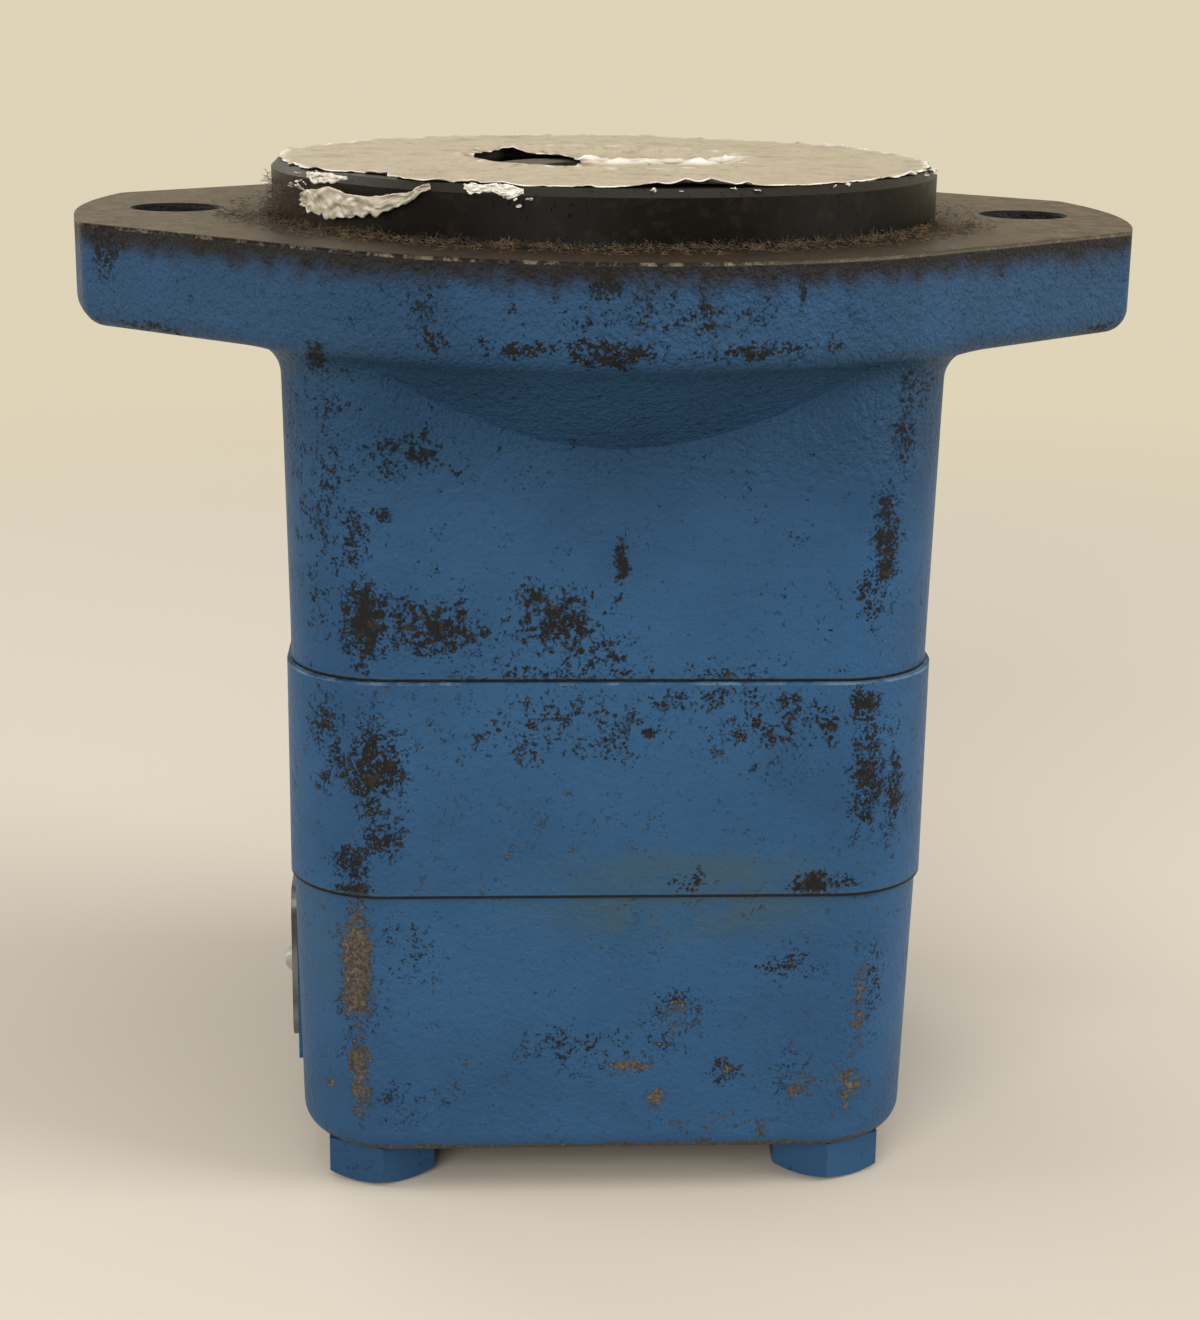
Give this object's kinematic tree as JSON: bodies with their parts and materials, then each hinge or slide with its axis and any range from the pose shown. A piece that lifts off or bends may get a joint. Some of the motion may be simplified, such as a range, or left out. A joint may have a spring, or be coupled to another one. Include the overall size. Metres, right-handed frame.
{
  "type": "hydraulic vane pump",
  "caption": "Square-bodied hydraulic vane pump with a two-bolt pilot flange, keyed hollow shaft and two threaded ports.",
  "frame": {"origin": "on the shaft axis in the plane of the mounting face", "axes": "+Z along the shaft out of the pilot, +X through one flange ear, +Y towards the ports"},
  "size_m": [0.1302, 0.1082, 0.1231],
  "materials": {
    "blue_paint": "worn blue paint on cast iron",
    "machined_iron": "machined, dirty",
    "steel": "ground steel",
    "bronze": "bearing bronze",
    "rubber": "matt black",
    "foil": "dull creased foil",
    "plate": "bare sheet"
  },
  "bodies": {
    "housing": {"body_casting": "blue_paint", "cam_ring": "blue_paint", "end_cover": "blue_paint", "cover_bolts": "blue_paint", "nameplate": "plate", "nameplate_screws": "steel", "foil_seal": "foil", "shaft_seal_case": "steel", "shaft_seal_lip": "rubber", "shaft_seal_spring": "steel", "bearing_outer_race": "steel", "bearing_circlip": "steel", "port_plate": "machined_iron", "port_plate_bushing": "bronze", "port_plate_seal": "rubber", "locating_pins": "steel", "pressure_plate": "machined_iron", "pressure_plate_seal": "rubber", "pressure_plate_spring": "steel", "cover_seal": "rubber"},
    "rotating_group": {"drive_shaft": "steel", "rotor": "steel", "bearing_inner_race": "steel", "shaft_circlip": "steel"},
    "cage": {"bearing_cage": "bronze", "bearing_rollers": "steel"},
    "vane_01": {"vane_01": "steel"},
    "vane_02": {"vane_02": "steel"},
    "vane_03": {"vane_03": "steel"},
    "vane_04": {"vane_04": "steel"},
    "vane_05": {"vane_05": "steel"},
    "vane_06": {"vane_06": "steel"},
    "vane_07": {"vane_07": "steel"},
    "vane_08": {"vane_08": "steel"},
    "vane_09": {"vane_09": "steel"},
    "vane_10": {"vane_10": "steel"},
    "vane_11": {"vane_11": "steel"},
    "vane_12": {"vane_12": "steel"}
  },
  "joints": [
    {"name": "shaft_spin", "type": "hinge", "parent": "housing", "child": "rotating_group", "pos_m": [0, 0, 0], "axis": [0, 0, 1], "continuous": true},
    {"name": "cage_spin", "type": "hinge", "parent": "housing", "child": "cage", "pos_m": [0, 0, 0], "axis": [0, 0, 1], "continuous": true},
    {"name": "vane_01_slide", "type": "slide", "parent": "rotating_group", "child": "vane_01", "axis": [0.9659, 0.2588, 0], "range_m": [0, 0.00082]},
    {"name": "vane_02_slide", "type": "slide", "parent": "rotating_group", "child": "vane_02", "axis": [0.7071, 0.7071, 0], "range_m": [0, 0.00216]},
    {"name": "vane_03_slide", "type": "slide", "parent": "rotating_group", "child": "vane_03", "axis": [0.2588, 0.9659, 0], "range_m": [0, 0.00382]},
    {"name": "vane_04_slide", "type": "slide", "parent": "rotating_group", "child": "vane_04", "axis": [-0.2588, 0.9659, 0], "range_m": [0, 0.00382]},
    {"name": "vane_05_slide", "type": "slide", "parent": "rotating_group", "child": "vane_05", "axis": [-0.7071, 0.7071, 0], "range_m": [0, 0.00216]},
    {"name": "vane_06_slide", "type": "slide", "parent": "rotating_group", "child": "vane_06", "axis": [-0.9659, 0.2588, 0], "range_m": [0, 0.00082]},
    {"name": "vane_07_slide", "type": "slide", "parent": "rotating_group", "child": "vane_07", "axis": [-0.9659, -0.2588, 0], "range_m": [0, 0.00082]},
    {"name": "vane_08_slide", "type": "slide", "parent": "rotating_group", "child": "vane_08", "axis": [-0.7071, -0.7071, 0], "range_m": [0, 0.00216]},
    {"name": "vane_09_slide", "type": "slide", "parent": "rotating_group", "child": "vane_09", "axis": [-0.2588, -0.9659, 0], "range_m": [0, 0.00382]},
    {"name": "vane_10_slide", "type": "slide", "parent": "rotating_group", "child": "vane_10", "axis": [0.2588, -0.9659, 0], "range_m": [0, 0.00382]},
    {"name": "vane_11_slide", "type": "slide", "parent": "rotating_group", "child": "vane_11", "axis": [0.7071, -0.7071, 0], "range_m": [0, 0.00216]},
    {"name": "vane_12_slide", "type": "slide", "parent": "rotating_group", "child": "vane_12", "axis": [0.9659, -0.2588, 0], "range_m": [0, 0.00082]}
  ],
  "couplings": [
    {"joint": "cage_spin", "follows": "shaft_spin", "ratio": 0.41889}
  ]
}
